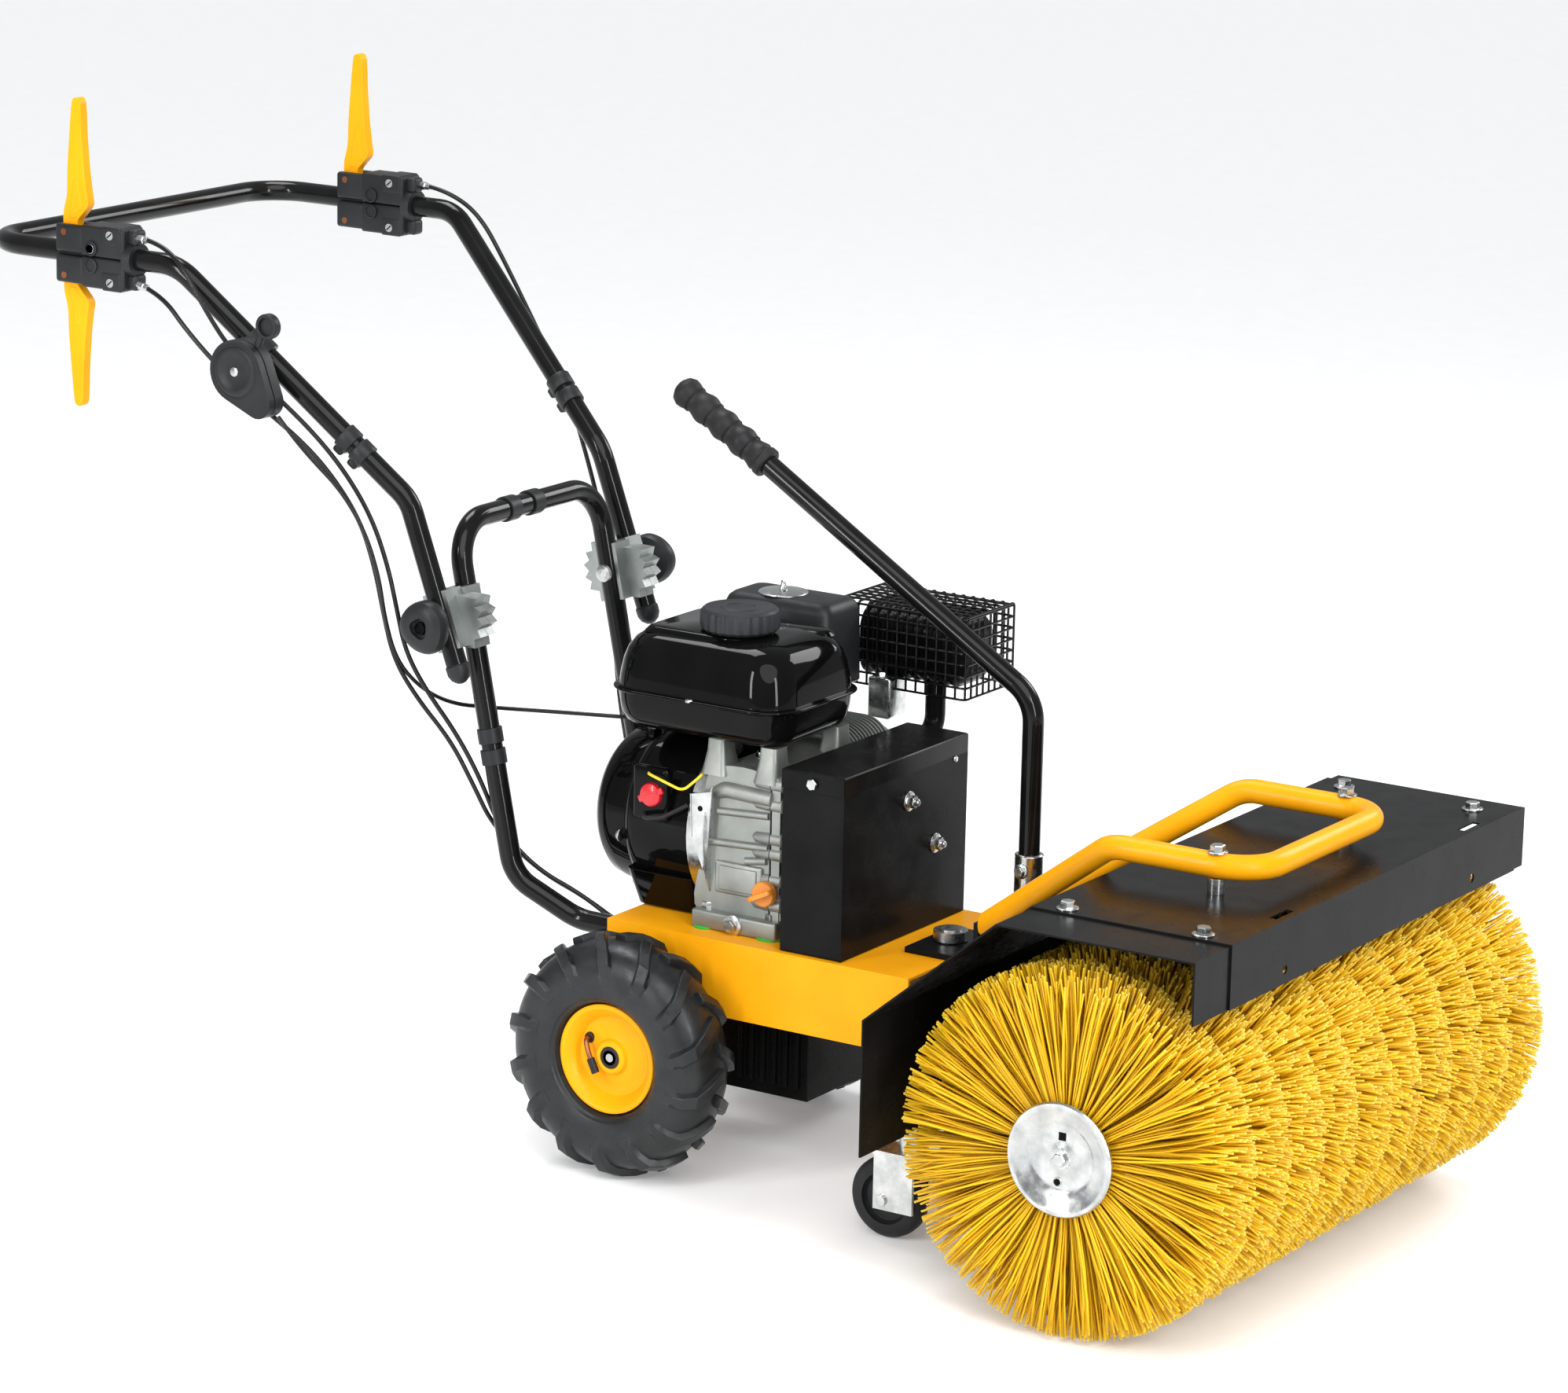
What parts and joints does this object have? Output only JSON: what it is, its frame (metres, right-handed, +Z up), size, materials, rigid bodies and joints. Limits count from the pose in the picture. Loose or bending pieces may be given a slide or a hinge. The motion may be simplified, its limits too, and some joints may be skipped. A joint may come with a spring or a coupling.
{
  "type": "walk behind sweeper",
  "caption": "Engine-driven walk-behind sweeper with a hooded cylindrical brush, two drive wheels, castors and a folding handlebar.",
  "frame": {"origin": "under the middle of the machine on the ground it stands on", "axes": "+Z up, the brush towards -Y and the handlebar towards +Y, so +X is the left side of an operator who faces the brush"},
  "size_m": [0.7, 1.6035, 1.07],
  "materials": {
    "yellow_paint": "satin",
    "black_tube": "gloss",
    "black_sheet": "satin",
    "gloss_black": "gloss",
    "cast_aluminium": "satin",
    "bright_steel": "satin",
    "black_plastic": "matte",
    "black_rubber": "matte",
    "tyre_rubber": "matte",
    "bristle_plastic": "satin",
    "red_plastic": "gloss",
    "orange_plastic": "gloss"
  },
  "bodies": {
    "chassis": {"chassis_frame": "yellow_paint", "lower_handle_tube": "black_tube", "clamp_inner_halves": "cast_aluminium", "clamp_bolts": "bright_steel", "swivel_pin": "bright_steel", "travel_gearbox": "black_sheet", "engine_crankcase": "cast_aluminium", "cylinder_head": "cast_aluminium", "blower_housing": "gloss_black", "recoil_housing": "gloss_black", "chassis_bolts": "bright_steel", "fuel_tank": "gloss_black", "air_cleaner_case": "black_plastic", "carburettor": "cast_aluminium", "muffler": "black_sheet", "muffler_guard": "black_sheet", "belt_cover": "black_sheet", "drive_belts": "black_rubber", "lower_cables": "black_rubber"},
    "crank": {"crankshaft": "bright_steel", "flywheel": "cast_aluminium", "engine_pulley": "bright_steel"},
    "travel_shaft": {"travel_input": "bright_steel"},
    "wheel_set": {"wheel_axle": "bright_steel", "wheel_rims": "yellow_paint", "tyres": "tyre_rubber"},
    "drive_shaft": {"brush_drive": "bright_steel"},
    "sweep_head": {"head_frame": "black_sheet", "head_yoke": "yellow_paint", "brush_gearbox": "black_sheet", "hood_panel": "black_sheet", "hood_ends": "black_sheet", "hood_bolts": "bright_steel", "angle_lever": "black_tube", "lever_grip": "black_rubber"},
    "input_shaft": {"head_input_shaft": "bright_steel"},
    "brush": {"brush_shaft": "bright_steel", "brush_discs": "bright_steel", "bristles": "bristle_plastic"},
    "castor_swivel_right": {"castor_fork_right": "bright_steel"},
    "castor_roller_right": {"castor_wheel_right": "black_rubber"},
    "castor_swivel_left": {"castor_fork_left": "bright_steel"},
    "castor_roller_left": {"castor_wheel_left": "black_rubber"},
    "handlebar": {"handlebar_tube": "black_tube", "clamp_outer_halves": "cast_aluminium", "lever_mounts": "black_plastic", "throttle_housing": "black_plastic", "upper_cables": "black_rubber"},
    "travel_grip": {"travel_lever": "yellow_paint"},
    "reverse_grip": {"reverse_lever": "yellow_paint"},
    "brush_grip": {"brush_lever": "yellow_paint"},
    "throttle_arm": {"throttle_lever": "black_plastic"},
    "knob_right": {"clamp_knob_right": "black_plastic"},
    "knob_left": {"clamp_knob_left": "black_plastic"},
    "tank_cap": {"fuel_cap": "black_plastic"},
    "oil_cap": {"oil_filler_cap": "orange_plastic"},
    "switch": {"engine_switch": "red_plastic"},
    "starter_handle": {"recoil_handle": "black_plastic"},
    "travel_tensioner": {"travel_idler": "bright_steel"},
    "brush_tensioner": {"brush_idler": "bright_steel"}
  },
  "joints": [
    {"name": "crank_spin", "type": "hinge", "parent": "chassis", "child": "crank", "pos_m": [0, -0.0936, 0.35], "axis": [0, 1, 0], "continuous": true},
    {"name": "wheel_spin", "type": "hinge", "parent": "chassis", "child": "wheel_set", "pos_m": [0, 0.0064, 0.13], "axis": [1, 0, 0], "continuous": true},
    {"name": "travel_shaft_spin", "type": "hinge", "parent": "chassis", "child": "travel_shaft", "pos_m": [0, 0.0064, 0.1855], "axis": [0, 1, 0], "continuous": true},
    {"name": "drive_shaft_spin", "type": "hinge", "parent": "chassis", "child": "drive_shaft", "pos_m": [0, -0.1996, 0.1855], "axis": [0, 1, 0], "continuous": true},
    {"name": "head_swivel", "type": "hinge", "parent": "chassis", "child": "sweep_head", "pos_m": [0, -0.2836, 0.256], "axis": [0, 0, 1], "range_deg": [-15, 15]},
    {"name": "input_shaft_spin", "type": "hinge", "parent": "sweep_head", "child": "input_shaft", "pos_m": [0, -0.3936, 0.1855], "axis": [0, 1, 0], "continuous": true},
    {"name": "brush_spin", "type": "hinge", "parent": "sweep_head", "child": "brush", "pos_m": [0, -0.61625, 0.1855], "axis": [1, 0, 0], "continuous": true},
    {"name": "castor_swivel_right", "type": "hinge", "parent": "sweep_head", "child": "castor_swivel_right", "pos_m": [-0.172, -0.3506, 0.1], "axis": [0, 0, 1], "continuous": true},
    {"name": "castor_roll_right", "type": "hinge", "parent": "castor_swivel_right", "child": "castor_roller_right", "pos_m": [-0.172, -0.3246, 0.0425], "axis": [1, 0, 0], "continuous": true},
    {"name": "castor_swivel_left", "type": "hinge", "parent": "sweep_head", "child": "castor_swivel_left", "pos_m": [0.172, -0.3506, 0.1], "axis": [0, 0, 1], "continuous": true},
    {"name": "castor_roll_left", "type": "hinge", "parent": "castor_swivel_left", "child": "castor_roller_left", "pos_m": [0.172, -0.3246, 0.0425], "axis": [1, 0, 0], "continuous": true},
    {"name": "handlebar_fold", "type": "hinge", "parent": "chassis", "child": "handlebar", "pos_m": [0, 0.2344, 0.556], "axis": [1, 0, 0], "range_deg": [-20, 110]},
    {"name": "travel_lever_squeeze", "type": "hinge", "parent": "handlebar", "child": "travel_grip", "pos_m": [-0.242, 0.6704, 0.929], "axis": [-1, 0, 0], "range_deg": [0, 50], "stiffness_Nm_per_rad": 0.4, "springref_deg": -17.19},
    {"name": "reverse_lever_squeeze", "type": "hinge", "parent": "handlebar", "child": "reverse_grip", "pos_m": [-0.242, 0.6704, 0.883], "axis": [1, 0, 0], "range_deg": [0, 50], "stiffness_Nm_per_rad": 0.4, "springref_deg": -17.19},
    {"name": "brush_lever_squeeze", "type": "hinge", "parent": "handlebar", "child": "brush_grip", "pos_m": [0.242, 0.6704, 0.929], "axis": [-1, 0, 0], "range_deg": [0, 50], "stiffness_Nm_per_rad": 0.4, "springref_deg": -17.19},
    {"name": "throttle_turn", "type": "hinge", "parent": "handlebar", "child": "throttle_arm", "pos_m": [-0.246, 0.4434, 0.806], "axis": [1, 0, 0], "range_deg": [-15, 45]},
    {"name": "knob_right_turn", "type": "hinge", "parent": "handlebar", "child": "knob_right", "pos_m": [-0.2, 0.2344, 0.556], "axis": [1, 0, 0], "continuous": true},
    {"name": "knob_left_turn", "type": "hinge", "parent": "handlebar", "child": "knob_left", "pos_m": [0.2, 0.2344, 0.556], "axis": [1, 0, 0], "continuous": true},
    {"name": "fuel_cap_turn", "type": "hinge", "parent": "chassis", "child": "tank_cap", "pos_m": [-0.04, -0.0446, 0.575], "axis": [0, 0, 1], "range_deg": [0, 90]},
    {"name": "oil_cap_turn", "type": "hinge", "parent": "chassis", "child": "oil_cap", "pos_m": [-0.1, -0.1176, 0.305], "axis": [1, 0, 0], "continuous": true},
    {"name": "switch_turn", "type": "hinge", "parent": "chassis", "child": "switch", "pos_m": [-0.1, 0.0214, 0.389], "axis": [1, 0, 0], "range_deg": [0, 60]},
    {"name": "starter_pull", "type": "slide", "parent": "chassis", "child": "starter_handle", "axis": [0, 0, 1], "range_m": [0, 0.1], "stiffness_N_per_m": 6, "springref_m": -0.02},
    {"name": "travel_idler_press", "type": "hinge", "parent": "chassis", "child": "travel_tensioner", "pos_m": [-0.0668, -0.1736, 0.32975], "axis": [0, 1, 0], "range_deg": [-6.5, 0]},
    {"name": "brush_idler_press", "type": "hinge", "parent": "chassis", "child": "brush_tensioner", "pos_m": [0.0668, -0.1996, 0.32975], "axis": [0, 1, 0], "range_deg": [0, 6.5]}
  ],
  "couplings": [
    {"joint": "travel_shaft_spin", "follows": "wheel_spin", "ratio": 20},
    {"joint": "input_shaft_spin", "follows": "brush_spin", "ratio": 3},
    {"joint": "drive_shaft_spin", "follows": "brush_spin", "ratio": 3},
    {"joint": "travel_idler_press", "follows": "travel_lever_squeeze", "ratio": -0.13},
    {"joint": "brush_idler_press", "follows": "brush_lever_squeeze", "ratio": 0.13}
  ]
}
